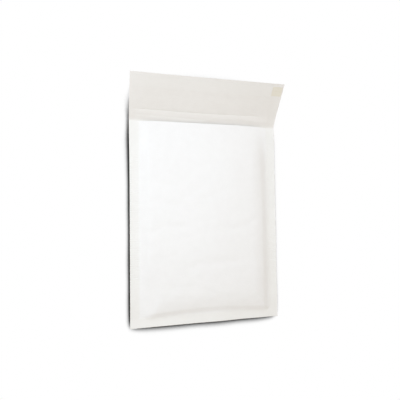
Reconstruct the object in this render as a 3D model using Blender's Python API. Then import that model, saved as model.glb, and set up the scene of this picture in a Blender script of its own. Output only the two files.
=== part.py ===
"""Padded envelope: a folded paper sleeve with a glued flap strip and a lining of bubble film.

The envelope lies on its back with the flap standing half open. The origin is the centre of the
flat back, +X points right, +Y points to the flap and +Z points up out of the front panel.
All sizes are in metres.
"""

import math

import bmesh
import bpy
from mathutils import Vector

# Paper sleeve
BODY_WIDTH = 0.170
BODY_LENGTH = 0.225
PAPER_THICKNESS = 0.0004
SEAM_WIDTH = 0.010
SEAM_LIFT = 0.0042
FOLD_BAND = 0.010
SIDE_SLOPE = 0.0085
FOOT_SLOPE = 0.0095
PANEL_CROWN = 0.0006
RIM_SETBACK = 0.002

# Past the end of the bubble film the two panels close up to the mouth
MOUTH_TAPER = 0.014
MOUTH_SHARE = 0.55

# Flap, which folds up from the end of the back panel, a little past the rim of the front one
FLAP_LENGTH = 0.051
FLAP_LEAN = math.radians(37.5)
CREASE_DISTANCE = 0.013
CREASE_LEAN = math.radians(26)
CREASE_SOFTNESS = 0.002
BOW_SPREAD = 0.024

# Bubble film on the inner side of each panel
FILM_THICKNESS = 0.0003
BUBBLE_HEIGHT = 0.0020
BUBBLE_RADIUS = 0.0058
BUBBLE_TOP_RADIUS = 0.0044
BUBBLE_SPACING = 0.0033
FILM_BORDER = 0.0010
FILM_SETBACK = 0.001
POCKET_GAP = 0.0045

# Closing strip near the top edge of the flap
ADHESIVE_FROM_TOP = 0.0042
ADHESIVE_WIDTH = 0.0106
ADHESIVE_END_GAP = 0.0015
LINER_OVERHANG = 0.0012
LINER_BARE_END = 0.013
STRIP_THICKNESS = 0.0002

# Layers that lie on each other keep this clearance
CLEARANCE = 0.0003

# Steps along each curved stretch
SLOPE_STEPS = 6
PANEL_STEPS = 8
TAPER_STEPS = 2
FLAP_STEPS = 5
BUBBLE_SIDES = 8

# Places worked out from the sizes above
EDGE_X = BODY_WIDTH / 2
SEAM_X = EDGE_X - SEAM_WIDTH
FOLD_Y = -BODY_LENGTH / 2
FOOT_Y = FOLD_Y + FOLD_BAND
FLAP_Y = BODY_LENGTH / 2
RIM_Y = FLAP_Y - RIM_SETBACK
TAPER_Y = RIM_Y - MOUTH_TAPER
SEAM_Z = SEAM_LIFT + PAPER_THICKNESS
LINING_THICKNESS = FILM_THICKNESS + BUBBLE_HEIGHT
INNER_DEPTH = 2 * (CLEARANCE + LINING_THICKNESS) + POCKET_GAP
BACK_DEPTH = SEAM_LIFT
FRONT_DEPTH = INNER_DEPTH - BACK_DEPTH


def material(name, colour, roughness, alpha=1.0):
    """A Principled material with one plain colour."""
    made = bpy.data.materials.new(name)
    made.use_nodes = True
    shader = made.node_tree.nodes["Principled BSDF"]
    shader.inputs["Base Color"].default_value = (*colour, 1.0)
    shader.inputs["Roughness"].default_value = roughness
    shader.inputs["Metallic"].default_value = 0.0
    shader.inputs["Alpha"].default_value = alpha
    return made


def add_object(name, mesh_maker, surface, smooth_angle):
    """Put a bmesh into a named object with its material."""
    bmesh.ops.recalc_face_normals(mesh_maker, faces=mesh_maker.faces[:])
    mesh = bpy.data.meshes.new(name)
    mesh_maker.to_mesh(mesh)
    mesh_maker.free()
    mesh.materials.append(surface)
    mesh.shade_smooth()
    mesh.set_sharp_from_angle(angle=smooth_angle)
    made = bpy.data.objects.new(name, mesh)
    bpy.context.scene.collection.objects.link(made)
    return made


def steps_between(start, end, count):
    """Evenly spaced values after start, up to and including end."""
    return [start + (end - start) * (step + 1) / count for step in range(count)]


def swell(distance, width):
    """0 at the foot of a padded slope, 1 on the plateau, rounded at the shoulder."""
    share = min(max(distance / width, 0.0), 1.0)
    return math.sin(share * math.pi / 2)


def side_fullness(x):
    """How far the padding lifts the paper at a distance from the side seams."""
    return swell(SEAM_X - abs(x), SIDE_SLOPE)


def mouth_fullness(y):
    """Share of the padding's height that is left on the way to the mouth."""
    closed = min(max((y - TAPER_Y) / MOUTH_TAPER, 0.0), 1.0)
    return 1 - (1 - MOUTH_SHARE) * closed


def fullness(x, y):
    """How far the padding lifts the paper at a place on the panels."""
    return side_fullness(x) * swell(y - FOOT_Y, FOOT_SLOPE) * mouth_fullness(y)


def crown(x, y):
    """The slight arch of the front panel over its padding."""
    return PANEL_CROWN * swell(SEAM_X - abs(x), SEAM_X) * swell(y - FOOT_Y, BODY_LENGTH / 2)


def front_inner(x, y):
    """A point on the inner side of the front panel."""
    return Vector((x, y, SEAM_Z + FRONT_DEPTH * fullness(x, y) + crown(x, y)))


def front_outer(x, y):
    """A point on the face of the front panel."""
    return front_inner(x, y) + Vector((0, 0, PAPER_THICKNESS))


def back_inner(x, y):
    """A point on the inner side of the back panel."""
    return Vector((x, y, SEAM_Z - BACK_DEPTH * fullness(x, y)))


def back_outer(x, y):
    """A point on the outside of the back panel, which rests on the table."""
    return back_inner(x, y) - Vector((0, 0, PAPER_THICKNESS))


def flap_at_edge(along):
    """Underside of the flap at its side edges: straight from the end of the seam."""
    start = Vector((0, FLAP_Y, SEAM_LIFT))
    return start + along * Vector((0, math.cos(FLAP_LEAN), math.sin(FLAP_LEAN)))


def flap_at_middle(along):
    """Underside of the flap between the seams: low up to the crease, then up to the top edge."""
    start = Vector((0, FLAP_Y, SEAM_LIFT - BACK_DEPTH * MOUTH_SHARE))
    crease = start + CREASE_DISTANCE * Vector((0, math.cos(CREASE_LEAN), math.sin(CREASE_LEAN)))
    if along <= CREASE_DISTANCE:
        return start.lerp(crease, along / CREASE_DISTANCE)
    share = (along - CREASE_DISTANCE) / (FLAP_LENGTH - CREASE_DISTANCE)
    return crease.lerp(flap_at_edge(FLAP_LENGTH), share)


def flap_underside(x, along):
    """A point on the outer side of the flap: padded up to the crease, then gently bowed.

    along is the distance from the fold that the flap stands up from.
    """
    spread = min(max(along - CREASE_DISTANCE, 0.0) / BOW_SPREAD, 1.0)
    bow = swell(EDGE_X - abs(x), EDGE_X)
    share = side_fullness(x) * (1 - spread) + bow * spread
    point = flap_at_edge(along).lerp(flap_at_middle(along), share)
    point.x = x
    return point


def flap_layer(x, along, height):
    """A point at a height over the underside of the flap, square to the sheet."""
    reach = CREASE_SOFTNESS
    before = flap_underside(x, max(along - reach, 0))
    after = flap_underside(x, min(along + reach, FLAP_LENGTH))
    run = (after - before).normalized()
    return flap_underside(x, along) + height * Vector((0, -run.z, run.y))


def grid(maker, across, rows, place):
    """Vertices at every crossing of two lists of values, one row for each second value."""
    return [[maker.verts.new(place(x, y)) for x in across] for y in rows]


def skin(maker, rows):
    """Triangles over a grid, with diagonals that mirror about its middle."""
    for low, high in zip(rows, rows[1:]):
        for column in range(len(low) - 1):
            a, b = low[column], low[column + 1]
            c, d = high[column + 1], high[column]
            if column < len(low) // 2:
                corners = (a, b, c), (a, c, d)
            else:
                corners = (a, b, d), (b, c, d)
            for corner in corners:
                if len(set(corner)) == 3:
                    maker.faces.new(corner)


def across_panel():
    """Values of X across the sheet, closer together on the padded slopes."""
    shoulder = SEAM_X - SIDE_SLOPE
    half = steps_between(0, shoulder, PANEL_STEPS // 2)
    half += steps_between(shoulder, SEAM_X, SLOPE_STEPS)
    half.append(EDGE_X)
    return [-x for x in reversed(half)] + [0.0] + half


def along_panel():
    """Values of Y from the bottom fold to the rim of the front panel."""
    shoulder = FOOT_Y + FOOT_SLOPE
    rows = [FOLD_Y + PAPER_THICKNESS, FOOT_Y]
    rows += steps_between(FOOT_Y, shoulder, SLOPE_STEPS)
    rows += steps_between(shoulder, TAPER_Y, PANEL_STEPS)
    rows += steps_between(TAPER_Y, RIM_Y, TAPER_STEPS)
    return rows


def along_flap():
    """Distances along the flap from its fold, with a soft bend at the crease."""
    bend = [CREASE_DISTANCE - CREASE_SOFTNESS, CREASE_DISTANCE, CREASE_DISTANCE + CREASE_SOFTNESS]
    return [0.0, CREASE_DISTANCE / 2] + bend + steps_between(bend[-1], FLAP_LENGTH, FLAP_STEPS)


def paper_envelope(surface):
    """One sheet: front panel, bottom fold and back panel, sealed at the sides, and the flap."""
    maker = bmesh.new()
    across = across_panel()
    rows = along_panel()
    inside = slice(1, -1)
    seam_left, seam_right = 1, len(across) - 2

    front = grid(maker, across, rows, front_outer)
    back = grid(maker, across, rows, back_outer)
    ceiling = grid(maker, across[inside], rows[1:], front_inner)
    floor = grid(maker, across[inside], rows[1:], back_inner)

    # The two plies meet where the pocket ends, along the fold band and both seams
    floor[0] = ceiling[0]
    for low, high in zip(floor, ceiling):
        low[0] = high[0]
        low[-1] = high[-1]

    # The bottom fold is rounded over one line of points
    fold = [maker.verts.new((x, FOLD_Y, SEAM_Z)) for x in across]
    skin(maker, [back[0], fold, front[0]])
    skin(maker, front)
    skin(maker, back)
    skin(maker, ceiling)
    skin(maker, floor)

    # The back panel goes on past the rim into the flap, and the seams end in a step of one ply
    under = grid(maker, across, along_flap(), flap_underside)
    over = grid(
        maker, across, along_flap(), lambda x, along: flap_layer(x, along, PAPER_THICKNESS)
    )
    corner_left = maker.verts.new((across[0], RIM_Y, SEAM_Z))
    corner_right = maker.verts.new((across[-1], RIM_Y, SEAM_Z))
    sill = [corner_left, *floor[-1], corner_right]
    lip = [corner_left, *ceiling[-1], corner_right]
    skin(maker, [back[-1], *under])
    skin(maker, [sill, *over])
    skin(maker, [lip, front[-1]])
    skin(maker, [under[-1], over[-1]])

    # Side edges of the sleeve and of the flap
    for side, corner in ((0, corner_left), (-1, corner_right)):
        maker.faces.new((back[0][side], fold[side], front[0][side]))
        for low in range(len(rows) - 2):
            below = [back[low][side], back[low + 1][side]]
            above = [front[low][side], front[low + 1][side]]
            skin(maker, [below, above])
        maker.faces.new((back[-2][side], back[-1][side], corner, front[-1][side], front[-2][side]))
        flap_below = [back[-1][side], *(row[side] for row in under)]
        flap_above = [corner, *(row[side] for row in over)]
        skin(maker, [flap_below, flap_above])
    return add_object("paper_envelope", maker, surface, math.radians(40))


def bubble_centres(width, length):
    """Centres of the bubbles on a film, in rows that are offset by half a pitch."""
    pitch = 2 * BUBBLE_RADIUS + BUBBLE_SPACING
    spare_x = width - 2 * (BUBBLE_RADIUS + FILM_BORDER)
    spare_y = length - 2 * (BUBBLE_RADIUS + FILM_BORDER)
    columns = int(spare_x / pitch) + 1
    rows = int(spare_y / (pitch * math.sqrt(3) / 2)) + 1
    step_x = spare_x / (columns - 1)
    step_y = spare_y / (rows - 1)
    for row in range(rows):
        shift = row % 2
        for column in range(columns - shift):
            yield (column + shift / 2) * step_x - spare_x / 2, row * step_y - spare_y / 2


def ring(maker, centre, radius, z):
    """A closed ring of points round a bubble."""
    turns = [2 * math.pi * side / BUBBLE_SIDES for side in range(BUBBLE_SIDES)]
    x, y = centre
    return [maker.verts.new((x + radius * math.cos(a), y + radius * math.sin(a), z)) for a in turns]


def loop_edges(maker, points):
    """Edges that close a ring of points."""
    return [maker.edges.new(pair) for pair in zip(points, points[1:] + points[:1])]


def bubble_lining(name, film_z, inward, surface):
    """Film that lies on a panel at film_z, with its bubbles towards the pocket."""
    half_width = SEAM_X - SIDE_SLOPE - CLEARANCE
    low_y = FOOT_Y + FOOT_SLOPE + CLEARANCE
    high_y = TAPER_Y - FILM_SETBACK
    middle_y = (low_y + high_y) / 2
    inner_z = film_z + inward * FILM_THICKNESS
    top_z = inner_z + inward * BUBBLE_HEIGHT

    maker = bmesh.new()
    corners = [(-half_width, low_y), (half_width, low_y), (half_width, high_y), (-half_width, high_y)]
    inner = [maker.verts.new((x, y, inner_z)) for x, y in corners]
    outer = [maker.verts.new((x, y, film_z)) for x, y in corners]
    open_edges = loop_edges(maker, inner)
    maker.faces.new(outer)
    for here in range(len(corners)):
        after = (here + 1) % len(corners)
        maker.faces.new((outer[here], outer[after], inner[after], inner[here]))

    bubbles = []
    for x, y in bubble_centres(2 * half_width, high_y - low_y):
        foot = ring(maker, (x, y + middle_y), BUBBLE_RADIUS, inner_z)
        top = ring(maker, (x, y + middle_y), BUBBLE_TOP_RADIUS, top_z)
        open_edges += loop_edges(maker, foot)
        bubbles.append((foot, top))
    bmesh.ops.triangle_fill(maker, use_beauty=True, use_dissolve=False, edges=open_edges)
    for foot, top in bubbles:
        for here in range(BUBBLE_SIDES):
            after = (here + 1) % BUBBLE_SIDES
            maker.faces.new((foot[here], foot[after], top[after], top[here]))
        maker.faces.new(top)
    return add_object(name, maker, surface, math.radians(25))


def flap_strip(name, span_x, span_along, height, surface):
    """A thin strip that follows the upper side of the flap at a height above it."""
    maker = bmesh.new()
    low_x, high_x = span_x
    across = [low_x] + [x for x in across_panel() if low_x < x < high_x] + [high_x]
    bottom = PAPER_THICKNESS + height
    lower = grid(maker, across, span_along, lambda x, along: flap_layer(x, along, bottom))
    upper = grid(
        maker, across, span_along, lambda x, along: flap_layer(x, along, bottom + STRIP_THICKNESS)
    )
    skin(maker, lower)
    skin(maker, upper)
    for edge in (0, -1):
        skin(maker, [lower[edge], upper[edge]])
        skin(maker, [[row[edge] for row in lower], [row[edge] for row in upper]])
    return add_object(name, maker, surface, math.radians(40))


def closing_strip(adhesive_surface, liner_surface):
    """The adhesive band near the flap's top edge and the release liner that covers it."""
    along_high = FLAP_LENGTH - ADHESIVE_FROM_TOP
    along_low = along_high - ADHESIVE_WIDTH
    low_x = -EDGE_X + ADHESIVE_END_GAP
    high_x = EDGE_X - ADHESIVE_END_GAP
    flap_strip("adhesive_strip", (low_x, high_x), (along_low, along_high), CLEARANCE, adhesive_surface)

    liner_along = (along_low - LINER_OVERHANG, along_high + LINER_OVERHANG)
    liner_height = 2 * CLEARANCE + STRIP_THICKNESS
    liner_x = (low_x, EDGE_X - LINER_BARE_END)
    flap_strip("release_liner", liner_x, liner_along, liner_height, liner_surface)


def main():
    for old in list(bpy.data.objects):
        bpy.data.objects.remove(old, do_unlink=True)

    paper = material("white_kraft_paper", (0.90, 0.90, 0.885), 0.85)
    film = material("clear_bubble_film", (0.80, 0.84, 0.86), 0.22, alpha=0.55)
    adhesive = material("pressure_adhesive", (0.78, 0.74, 0.60), 0.35)
    release_paper = material("release_paper", (0.84, 0.83, 0.79), 0.40)

    paper_envelope(paper)
    front_film_z = SEAM_Z + FRONT_DEPTH - CLEARANCE
    back_film_z = SEAM_Z - BACK_DEPTH + CLEARANCE
    bubble_lining("front_bubble_lining", front_film_z, -1, film)
    bubble_lining("back_bubble_lining", back_film_z, 1, film)
    closing_strip(adhesive, release_paper)


main()
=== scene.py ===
"""Looks of a white padded envelope that lies on its back with its flap half open.

The paper sleeve, the two bubble films, the adhesive band and its release liner are each modelled
as a fine mesh over the solid of the same piece. Lengths are in metres where no docstring says
millimetres. X runs across the envelope, Y from the bottom fold to the flap, and Z up out of the
front panel.
"""

import logging
import math
from collections.abc import Callable
from dataclasses import dataclass, field
from enum import Enum

import bmesh
import bpy
import numpy as np
from mathutils import Matrix, Vector


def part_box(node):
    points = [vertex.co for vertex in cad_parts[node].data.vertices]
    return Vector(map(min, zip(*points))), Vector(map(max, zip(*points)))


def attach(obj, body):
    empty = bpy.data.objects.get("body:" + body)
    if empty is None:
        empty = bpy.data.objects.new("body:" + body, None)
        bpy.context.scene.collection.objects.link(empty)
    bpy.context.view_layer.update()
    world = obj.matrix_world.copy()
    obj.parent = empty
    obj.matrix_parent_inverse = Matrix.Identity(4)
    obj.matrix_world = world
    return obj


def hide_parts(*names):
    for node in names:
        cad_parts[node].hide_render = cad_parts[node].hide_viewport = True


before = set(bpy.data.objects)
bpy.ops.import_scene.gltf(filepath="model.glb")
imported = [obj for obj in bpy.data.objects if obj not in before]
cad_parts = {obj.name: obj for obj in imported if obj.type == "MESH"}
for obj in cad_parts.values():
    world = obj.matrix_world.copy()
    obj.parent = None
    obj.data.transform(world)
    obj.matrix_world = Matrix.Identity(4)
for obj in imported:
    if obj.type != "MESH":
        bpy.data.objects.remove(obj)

logging.basicConfig(level=logging.INFO, format="%(message)s")
log = logging.getLogger("padded_envelope")

MM = 0.001
BODY = "root"
Colour = tuple[float, float, float]
Place = tuple[float, float, float]
Span = tuple[float, float]
HeightAt = Callable[[np.ndarray, np.ndarray], np.ndarray]


class Face(Enum):
    """Which way a padded film faces."""

    FRONT = -1
    BACK = 1


class Side(Enum):
    """The two finishes of the paper sheet, by material slot number."""

    OUTSIDE = 0
    INSIDE = 1


class Socket(Enum):
    """Kinds of socket on a shader node group."""

    VECTOR = "NodeSocketVector"
    VALUE = "NodeSocketFloat"


def ramp(distance: np.ndarray, width: float) -> np.ndarray:
    """Rise from 0 to 1 over a width, steep at the foot and rounded at the shoulder.

    Args:
        distance: How far each point is past the foot.
        width: How far the rise takes.

    Returns:
        The height of the rise as a share, from 0 to 1.
    """
    return np.sin(np.clip(distance / width, 0, 1) * math.pi / 2)


def smooth(value: np.ndarray, low: float, high: float) -> np.ndarray:
    """Smooth step from 0 at low to 1 at high.

    Args:
        value: The values to place on the step.
        low: Where the step starts.
        high: Where the step ends.

    Returns:
        The step's height at each value.
    """
    share = np.clip((value - low) / (high - low), 0, 1)
    return share * share * (3 - 2 * share)


def put_in_scene(name: str, data: bpy.types.ID) -> bpy.types.Object:
    """Make an object and link it to the scene.

    Args:
        name: Name of the object.
        data: Its mesh, lamp or camera.

    Returns:
        The new object.
    """
    made = bpy.data.objects.new(name, data)
    bpy.context.scene.collection.objects.link(made)
    return made


@dataclass(frozen=True)
class Slope:
    """How the padding rises from a flat edge: a straight rise, then a long rounded shoulder.

    Attributes:
        rise: Width of the straight rise, in millimetres.
        shoulder: Width of the rounded shoulder, in millimetres.
        share: Share of the height that the straight rise takes.
        softness: Rounding at both ends of the rise, as a share of its width.
        fillet: How far the slope runs out softly over its foot, in millimetres.
    """

    rise: float
    shoulder: float
    share: float
    softness: float = 0.2
    fillet: float = 2.4

    def at(self, distance: np.ndarray) -> np.ndarray:
        """Share of the full height at a distance from the foot.

        Args:
            distance: How far each point is past the foot, in metres.

        Returns:
            0 at the foot and 1 past the shoulder.
        """
        soft = self.softness
        distance = (distance + np.sqrt(distance**2 + (self.fillet * MM) ** 2)) / 2
        run = np.clip(distance / (self.rise * MM), 0, 1 + 2 * soft)
        foot = np.where(run < 2 * soft, run**2 / (4 * soft), run - soft)
        past = np.maximum(foot - (1 - soft), 0)
        straight = foot - past**2 / (4 * soft)
        return self.share * straight + (1 - self.share) * ramp(distance, self.shoulder * MM)


@dataclass(frozen=True)
class Crimping:
    """A stretch of a side seam where the ribs of the sealing jaws show.

    Attributes:
        side: -1 for the left seam and 1 for the right one.
        low: Where the stretch starts, in millimetres along the envelope.
        high: Where it ends, in millimetres.
        strength: How clear the ribs are, from 0 to 1.
        fade: How far they take to fade at each end, in millimetres.
    """

    side: int
    low: float
    high: float
    strength: float
    fade: float = 8

    def at(self, x: np.ndarray, y: np.ndarray) -> np.ndarray:
        """Strength of the ribs at each point.

        Args:
            x: Places across the envelope, in metres.
            y: Places along the envelope, in metres.

        Returns:
            The strength on the stretch, and 0 away from it.
        """
        started = smooth(y, self.low * MM, (self.low + self.fade) * MM)
        ended = smooth(y, (self.high - self.fade) * MM, self.high * MM)
        return self.strength * (started * (1 - ended)) * (x * self.side > 0)


@dataclass(frozen=True)
class Crease:
    """A soft groove or ridge that runs through a few points of a sheet.

    Attributes:
        points: The crease's own points, in millimetres on the sheet.
        depth: How deep the groove is, in millimetres. A ridge has a negative depth.
        width: Half the groove's width, in millimetres.
    """

    points: tuple[Span, ...]
    depth: float
    width: float

    def relief(self, u: np.ndarray, v: np.ndarray) -> np.ndarray:
        """Height of the sheet at the crease.

        Args:
            u: First coordinate on the sheet, in metres.
            v: Second coordinate on the sheet, in metres.

        Returns:
            The height to add, in metres.
        """
        strength = np.zeros(np.broadcast(u, v).shape)
        for (au, av), (bu, bv) in zip(self.points, self.points[1:]):
            run_u, run_v = (bu - au) * MM, (bv - av) * MM
            length = run_u * run_u + run_v * run_v
            share = np.clip(((u - au * MM) * run_u + (v - av * MM) * run_v) / length, 0, 1)
            gap = np.hypot(u - au * MM - share * run_u, v - av * MM - share * run_v)
            strength = np.maximum(strength, np.exp(-((gap / (self.width * MM)) ** 2)))
        return -self.depth * MM * strength


@dataclass(frozen=True)
class Wrinkling:
    """Many short faint creases strewn over a panel, the same ones each time.

    Attributes:
        count: How many creases there are.
        span: Half the width and half the length of the area that they cover, in millimetres.
        seed: Start of the random draws.
        depth: The deepest crease, in millimetres.
        depth_shares: Range of the depths as shares of the deepest. Below 0 are ridges.
        half_length: Range of half the length of a crease, in millimetres.
        width: Range of half its width, in millimetres.
        turn: How far the creases typically turn from straight across, in radians.
        bend: How far their middle typically lies off their line, in millimetres.
    """

    count: int
    span: Span
    seed: int
    depth: float
    depth_shares: Span = (-0.4, 1.0)
    half_length: Span = (4, 14)
    width: Span = (2.0, 4.5)
    turn: float = 0.5
    bend: float = 1.5

    def creases(self) -> list[Crease]:
        """Draw the creases, which lie mostly across the panel.

        Returns:
            The creases, in the order in which they were drawn.
        """
        draw = np.random.default_rng(self.seed)
        made = []
        for _ in range(self.count):
            x = draw.uniform(-self.span[0], self.span[0])
            y = draw.uniform(-self.span[1], self.span[1])
            turn = draw.normal(0, self.turn)
            reach = draw.uniform(*self.half_length)
            bend = draw.normal(0, self.bend)
            across, along = reach * math.cos(turn), reach * math.sin(turn)
            points = ((x - across, y - along), (x, y + bend), (x + across, y + along))
            depth = draw.uniform(*self.depth_shares) * self.depth
            made.append(Crease(points, depth, draw.uniform(*self.width)))
        return made


@dataclass(frozen=True)
class Unevenness:
    """Slow rolling of a soft surface, as a sum of waves in seeded directions.

    Attributes:
        height: Typical height of the waves.
        shortest: Shortest wave length.
        longest: Longest wave length.
        seed: Start of the random draws.
        waves: How many waves are added up.
    """

    height: float
    shortest: float
    longest: float
    seed: int
    waves: int = 14

    def at(self, x: np.ndarray, y: np.ndarray) -> np.ndarray:
        """Height of the rolling surface.

        Args:
            x: First coordinate of each point.
            y: Second coordinate of each point.

        Returns:
            The height at each point, over or under 0.
        """
        draw = np.random.default_rng(self.seed)
        total = np.zeros(np.broadcast(x, y).shape)
        for _ in range(self.waves):
            turn = draw.uniform(0, math.tau)
            length = draw.uniform(self.shortest, self.longest)
            phase = draw.uniform(0, math.tau)
            run = (x * math.cos(turn) + y * math.sin(turn)) / length
            total = total + np.sin(math.tau * run + phase)
        return total * self.height / math.sqrt(self.waves)


class SheetMesh:
    """A closed mesh that is put together from grids of points."""

    def __init__(self, name: str) -> None:
        """Start an empty mesh with the name of its piece."""
        self.name = name
        self.points: list[np.ndarray] = []
        self.count = 0
        self.faces: list[tuple[int, ...]] = []
        self.sides: list[int] = []

    def grid(self, points: np.ndarray) -> np.ndarray:
        """Add a grid of points.

        Args:
            points: Rows by columns by three coordinates.

        Returns:
            The number of each point, by row and column.
        """
        rows, columns = points.shape[:2]
        numbers = np.arange(rows * columns).reshape(rows, columns) + self.count
        self.points.append(points.reshape(-1, 3))
        self.count += rows * columns
        return numbers

    def skin(self, numbers: np.ndarray, side: Side = Side.OUTSIDE) -> None:
        """Cover a grid of point numbers with faces, leaving out corners that repeat.

        Args:
            numbers: Point numbers by row and column.
            side: The finish of the faces.
        """
        corners = numbers[:-1, :-1], numbers[:-1, 1:], numbers[1:, 1:], numbers[1:, :-1]
        for face in np.stack(corners, axis=-1).reshape(-1, 4).tolist():
            kept = tuple(dict.fromkeys(face))
            if len(kept) > 2:
                self.face(kept, side)

    def face(self, corners: tuple[int, ...], side: Side = Side.OUTSIDE) -> None:
        """Add one face by its point numbers."""
        self.faces.append(corners)
        self.sides.append(side.value)

    def slab(self, lower: np.ndarray, upper: np.ndarray) -> None:
        """Add two grids and close them into one thin slab.

        Args:
            lower: Points of one side, rows by columns by three coordinates.
            upper: Points of the other side, in a grid of the same size.
        """
        low, high = self.grid(lower), self.grid(upper)
        self.skin(low)
        self.skin(high)
        for end in (0, -1):
            self.skin(np.stack([low[end], high[end]]))
            self.skin(np.stack([low[:, end], high[:, end]]))

    def finish(self, materials: list[bpy.types.Material], sharp: float) -> bpy.types.Object:
        """Make the object, with its normals facing out and smooth shading.

        Args:
            materials: One material for each side that the faces name.
            sharp: Edges that bend more than this angle stay sharp.

        Returns:
            The new object.
        """
        points = np.concatenate(self.points)
        used = np.unique(np.fromiter((n for face in self.faces for n in face), int))
        renumber = np.full(len(points), -1)
        renumber[used] = np.arange(len(used))
        faces = [tuple(renumber[list(face)].tolist()) for face in self.faces]
        mesh = bpy.data.meshes.new(self.name)
        mesh.from_pydata(points[used].tolist(), [], faces)
        mesh.polygons.foreach_set("material_index", self.sides)
        for material in materials:
            mesh.materials.append(material)
        maker = bmesh.new()
        maker.from_mesh(mesh)
        bmesh.ops.recalc_face_normals(maker, faces=maker.faces[:])
        maker.to_mesh(mesh)
        maker.free()
        mesh.shade_smooth()
        mesh.set_sharp_from_angle(angle=sharp)
        return put_in_scene(self.name, mesh)


@dataclass
class EnvelopeForm:
    """The form that the paper, the films and the flap's strips share.

    The sizes are those of the solids, and the outline is read from the frame.

    Attributes:
        seam_width: Width of the flat side seams.
        fold_band: Width of the flat band over the bottom fold.
        left_slope: Padded slope along the left seam.
        corner_slope: Wide facet in its place at the bottom corner.
        corner_fade: Where the facet starts and ends to give way, past the bottom band.
        right_slope: Padded slope along the right seam.
        mouth_slope: Wider slope in its place near the mouth.
        mouth_fade: Where the right slope starts and ends to change, before the rim.
        mouth_inset: How far the right slope stands in near the mouth.
        inset_start: Where along the envelope it starts to stand in.
        inset_end: Where it has come in fully, before the rim.
        foot_slope: Padded slope over the bottom band.
        foot_arch: How far the foot's line arches up in the middle.
        arch_power: How slowly the arch leaves its two ends.
        foot_corner: Where the foot's line ends, past the bottom band.
        mitre: How sharply side and foot meet, as the power of the mitre.
        crown: How far the middle of the front panel stands up.
        rim_setback: How far the front panel's rim stays short of the flap's fold.
        rim_bow: How far the rim's middle bows towards the flap.
        bow_reach: How far before the rim the bow starts.
        bow_shoulder: Share of half the width over which the bow grows.
        seam_lift: Height of the seams over the floor.
        solid_paper: Thickness of the paper in the solids.
        paper: Thickness of the paper here.
        film_gap: Gap between the paper and a film.
        flap_length: Length of the flap.
        flap_lean: How far the whole flap leans up.
        crease_distance: How far the flap's crease lies from its fold.
        crease_lean: How far the band up to the crease leans up between the seams.
        edge_lean: How far that band leans up at the seams.
        crease_softness: Length over which the flap's direction is taken.
        flap_hold: Distance from the fold over which the flap's creases grow.
        flap_free: Distance from the fold at which its waves are full.
        flap_rolling: Height of its waves as a share of the front panel's.
        flap_shift: Shift that gives the flap other waves than the front panel.
        seam_curl: How far the seams' edges curl up.
        even_curl: Share of the curl that rises evenly. The rest steepens to the edge.
        wave_onset: How far inside the seams their waves start.
        crimp_pitch: Distance from rib to rib.
        crimp_crest: Place of one rib along the envelope.
        crimp_height: Height of the clearest ribs.
        crimp_floor: How clear the ribs are away from the stretches where they show.
        crimp_overlap: How far inside the seams the ribs start.
        crimp_onset: Width over which they grow.
        crimp_clear: Where they fade out round the upper edge of the bottom band.
        mouth_share: Share of the padding's height that is left at the mouth.
        mouth_reach: How far before the rim the panels start to close up.
        corner_lift: How far the mouth's left corner is lifted.
        corner_reach: How far round that corner the lift goes.
        corner_squeeze: How much a distance along the envelope counts for that reach.
        corner_pull: Share of the lift by which the corner moves out to the left.
        rolling: Slow waves of the front panel and the flap.
        dimpling: Short waves of the front panel.
        seam_waves: Waves of the flat seams.
        crimping: Stretches of the seams where the ribs show.
        front_creases: Creases of the front panel.
        flap_creases: Creases of the flap.
    """

    seam_width: float = 10 * MM
    fold_band: float = 10 * MM
    left_slope: Slope = Slope(rise=8.5, shoulder=15, share=0.70)
    corner_slope: Slope = Slope(rise=19, shoulder=22, share=0.9)
    corner_fade: Span = (14 * MM, 62 * MM)
    right_slope: Slope = Slope(rise=6.5, shoulder=21, share=0.255)
    mouth_slope: Slope = Slope(rise=9, shoulder=21, share=0.22)
    mouth_fade: Span = (70 * MM, 5 * MM)
    mouth_inset: float = 1.3 * MM
    inset_start: float = -20 * MM
    inset_end: float = 30 * MM
    foot_slope: Slope = Slope(rise=5.0, shoulder=24, share=0.29)
    foot_arch: float = 3.5 * MM
    arch_power: float = 1.5
    foot_corner: float = -2.2 * MM
    mitre: float = 4.0
    crown: float = 0.9 * MM
    rim_setback: float = 2 * MM
    rim_bow: float = 1.2 * MM
    bow_reach: float = 25 * MM
    bow_shoulder: float = 0.5
    seam_lift: float = 4.2 * MM
    solid_paper: float = 0.4 * MM
    paper: float = 0.25 * MM
    film_gap: float = 0.3 * MM
    flap_length: float = 51 * MM
    flap_lean: float = math.radians(37.5)
    crease_distance: float = 11.2 * MM
    crease_lean: float = math.radians(29)
    edge_lean: float = math.radians(33)
    crease_softness: float = 2.2 * MM
    flap_hold: float = 2 * MM
    flap_free: float = 16 * MM
    flap_rolling: float = 0.5
    flap_shift: float = 0.3
    seam_curl: float = 1.2 * MM
    even_curl: float = 0.4
    wave_onset: float = 6 * MM
    crimp_pitch: float = 2.4 * MM
    crimp_crest: float = 57.2 * MM
    crimp_height: float = 0.28 * MM
    crimp_floor: float = 0.12
    crimp_overlap: float = 1.5 * MM
    crimp_onset: float = 2 * MM
    crimp_clear: Span = (-6 * MM, 4 * MM)
    mouth_share: float = 0.10
    mouth_reach: float = 42 * MM
    corner_lift: float = 3.5 * MM
    corner_reach: float = 34 * MM
    corner_squeeze: float = 0.8
    corner_pull: float = 0.2
    rolling: Unevenness = Unevenness(height=0.22 * MM, shortest=45 * MM, longest=120 * MM, seed=4)
    dimpling: Unevenness = Unevenness(height=0.045 * MM, shortest=10 * MM, longest=18 * MM, seed=9)
    seam_waves: Unevenness = Unevenness(height=0.30 * MM, shortest=35 * MM, longest=90 * MM, seed=21)
    crimping: list[Crimping] = field(default_factory=list)
    front_creases: list[Crease] = field(default_factory=list)
    flap_creases: list[Crease] = field(default_factory=list)

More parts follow.
